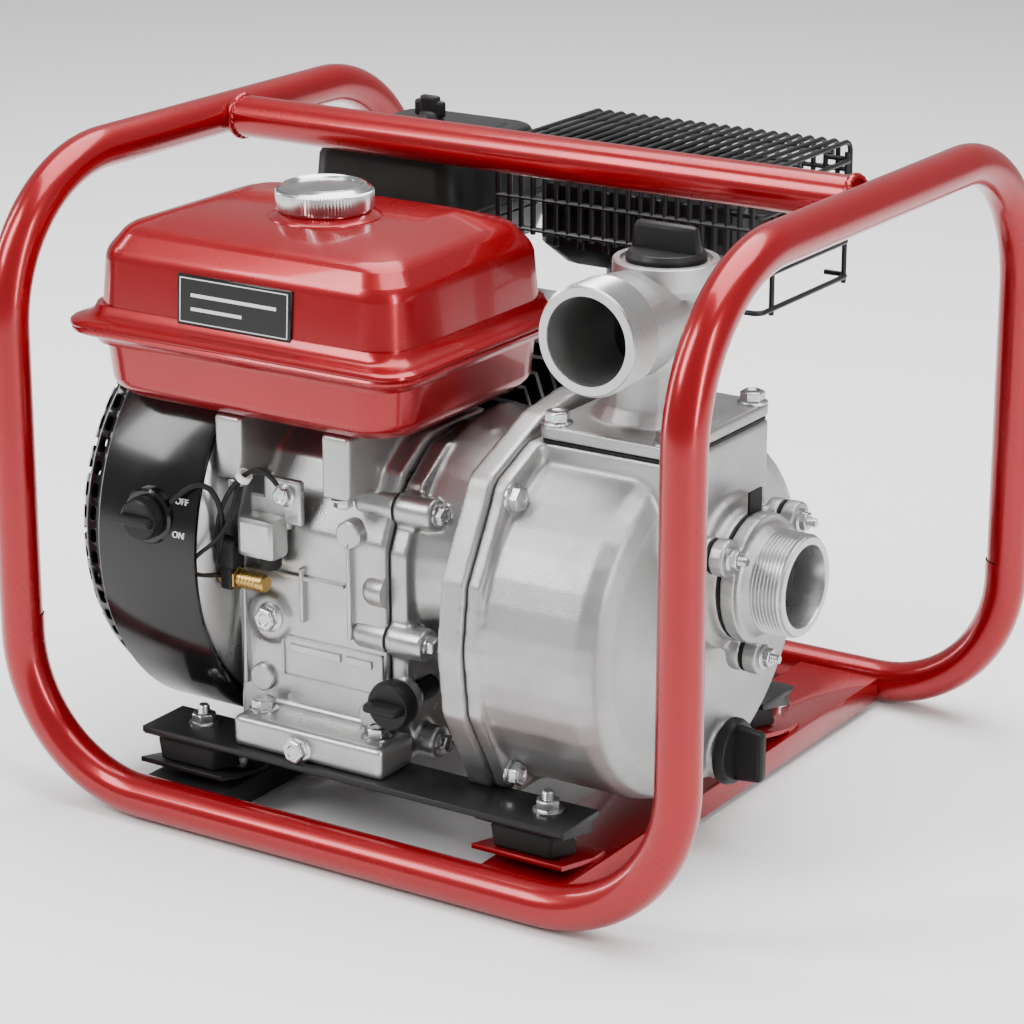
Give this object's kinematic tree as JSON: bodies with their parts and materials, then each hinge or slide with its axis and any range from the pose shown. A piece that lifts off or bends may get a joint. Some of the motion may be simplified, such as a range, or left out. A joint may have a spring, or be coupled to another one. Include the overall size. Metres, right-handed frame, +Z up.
{
  "type": "petrol engine water pump",
  "caption": "Self-priming centrifugal water pump driven by a small air-cooled petrol engine, carried in a red tubular steel frame with a top handle bar.",
  "frame": {"origin": "centre of the overall bounding box at floor level", "axes": "+X along the crankshaft from the recoil starter to the suction port, -Y towards the fuel tank and discharge side, +Z up"},
  "size_m": [0.4798, 0.4348, 0.3917],
  "materials": {
    "red_paint": "gloss",
    "black_paint": "satin",
    "cast_aluminium": "sand-cast satin",
    "steel": "zinc-plated",
    "chrome": "polished",
    "black_plastic": "moulded matt",
    "gloss_plastic": "gloss",
    "rubber": "matt",
    "brass": "satin",
    "filter": "matt"
  },
  "bodies": {
    "machine": {"frame_hoop_left": "red_paint", "frame_hoop_right": "red_paint", "frame_bottom_front": "red_paint", "frame_bottom_back": "red_paint", "frame_top_bar": "red_paint", "cross_member_left": "black_paint", "cross_member_right": "red_paint", "rail_front": "black_paint", "rail_rear": "black_paint", "mount_rubber_front_left": "rubber", "mount_rubber_front_right": "rubber", "mount_rubber_rear_left": "rubber", "mount_rubber_rear_right": "rubber", "crankcase": "cast_aluminium", "side_cover": "cast_aluminium", "connecting_rod": "steel", "piston": "cast_aluminium", "cylinder_barrel": "black_paint", "cylinder_head": "black_paint", "valve_cover": "cast_aluminium", "spark_plug": "rubber", "ignition_coil": "black_plastic", "fan_shroud": "gloss_plastic", "recoil_cover": "gloss_plastic", "switch_wire": "rubber", "loom_wire": "rubber", "sensor_box": "cast_aluminium", "brass_connector": "brass", "tank_lower": "red_paint", "tank_upper": "red_paint", "air_cleaner_base": "black_plastic", "air_cleaner_cover": "black_plastic", "air_cleaner_element": "filter", "carburettor": "cast_aluminium", "muffler": "black_paint", "guard_top": "black_paint", "guard_front": "black_paint", "guard_side": "black_paint", "pump_bracket": "cast_aluminium", "pump_casing": "cast_aluminium", "volute": "cast_aluminium", "mechanical_seal": "steel", "discharge_elbow": "cast_aluminium", "suction_nozzle": "cast_aluminium", "top_gasket": "rubber", "suction_gasket": "rubber"},
    "rotor": {"crankshaft": "steel", "flywheel_fan": "steel", "impeller": "cast_aluminium"},
    "pulley": {"recoil_pulley": "black_plastic"},
    "pull_handle": {"starter_handle": "black_plastic"},
    "cap": {"fuel_cap": "chrome"},
    "switch": {"switch_knob": "black_plastic"},
    "choke": {"choke_lever": "black_plastic"},
    "fuel_tap": {"fuel_lever": "black_plastic"},
    "oil_plug": {"dipstick": "black_plastic"},
    "fill_plug": {"priming_plug": "black_plastic"},
    "water_drain": {"drain_plug": "black_plastic"},
    "cleaner_wing": {"wing_nut": "black_plastic"},
    "flap": {"check_flap": "rubber"}
  },
  "joints": [
    {"name": "crank_spin", "type": "hinge", "parent": "machine", "child": "rotor", "pos_m": [-0.046, -0.058, 0.16], "axis": [1, 0, 0], "continuous": true},
    {"name": "recoil_pull", "type": "slide", "parent": "machine", "child": "pull_handle", "axis": [0, 0.766, 0.6428], "range_m": [0, 0.5]},
    {"name": "pulley_spin", "type": "hinge", "parent": "machine", "child": "pulley", "pos_m": [-0.194, -0.058, 0.16], "axis": [1, 0, 0], "range_deg": [0, 680]},
    {"name": "fuel_cap_turn", "type": "hinge", "parent": "machine", "child": "cap", "pos_m": [-0.068, -0.108, 0.366], "axis": [0, 0, 1], "range_deg": [0, 90]},
    {"name": "switch_turn", "type": "hinge", "parent": "machine", "child": "switch", "pos_m": [-0.141, -0.19, 0.184], "axis": [0, 1, 0], "range_deg": [0, 60]},
    {"name": "choke_turn", "type": "hinge", "parent": "machine", "child": "choke", "pos_m": [-0.136, 0.063, 0.27], "axis": [0, 1, 0], "range_deg": [0, 50]},
    {"name": "fuel_tap_turn", "type": "hinge", "parent": "machine", "child": "fuel_tap", "pos_m": [-0.136, 0.063, 0.25], "axis": [0, 1, 0], "range_deg": [-50, 0]},
    {"name": "dipstick_turn", "type": "hinge", "parent": "machine", "child": "oil_plug", "pos_m": [0.013, -0.16, 0.09], "axis": [0, 1, 0], "range_deg": [0, 360]},
    {"name": "fill_plug_turn", "type": "hinge", "parent": "machine", "child": "fill_plug", "pos_m": [0.13, -0.058, 0.347], "axis": [0, 0, 1], "range_deg": [0, 360]},
    {"name": "drain_plug_turn", "type": "hinge", "parent": "machine", "child": "water_drain", "pos_m": [0.17, -0.04, 0.054], "axis": [1, 0, 0], "range_deg": [0, 360]},
    {"name": "wing_nut_turn", "type": "hinge", "parent": "machine", "child": "cleaner_wing", "pos_m": [-0.118, 0.074, 0.376], "axis": [0, 0, 1], "range_deg": [0, 360]},
    {"name": "flap_swing", "type": "hinge", "parent": "machine", "child": "flap", "pos_m": [0.1555, -0.05, 0.2], "axis": [0, 1, 0], "range_deg": [0, 25]}
  ],
  "couplings": [
    {"joint": "pulley_spin", "follows": "recoil_pull", "rad_per_m": 23.25}
  ]
}
